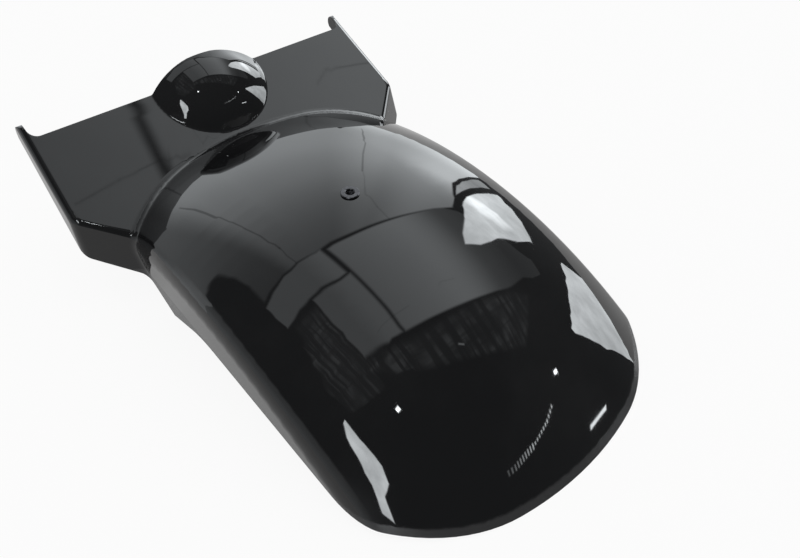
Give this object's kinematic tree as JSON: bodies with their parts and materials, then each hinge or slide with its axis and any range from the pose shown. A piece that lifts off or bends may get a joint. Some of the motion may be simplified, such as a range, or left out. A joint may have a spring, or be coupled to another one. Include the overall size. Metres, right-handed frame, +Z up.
{
  "type": "motorcycle rear fender",
  "caption": "Bobbed rear fender: an arched shell over the wheel runs forward into a sloping tray with side flanges, corner tabs and a small hump; a threaded insert sits in its crown.",
  "frame": {"origin": "centre of the ground-level footprint, on the plane the fender stands on", "axes": "+Y forward from the tail's tip to the tabs, +X to the rider's right, +Z up"},
  "size_m": [0.347, 0.4867, 0.1457],
  "materials": {
    "gloss_black": "polished gloss black, smooth",
    "nut_steel": "dark plated steel, turned"
  },
  "bodies": {
    "root": {"fender_shell": "gloss_black", "rivet_nut": "nut_steel"}
  },
  "joints": []
}
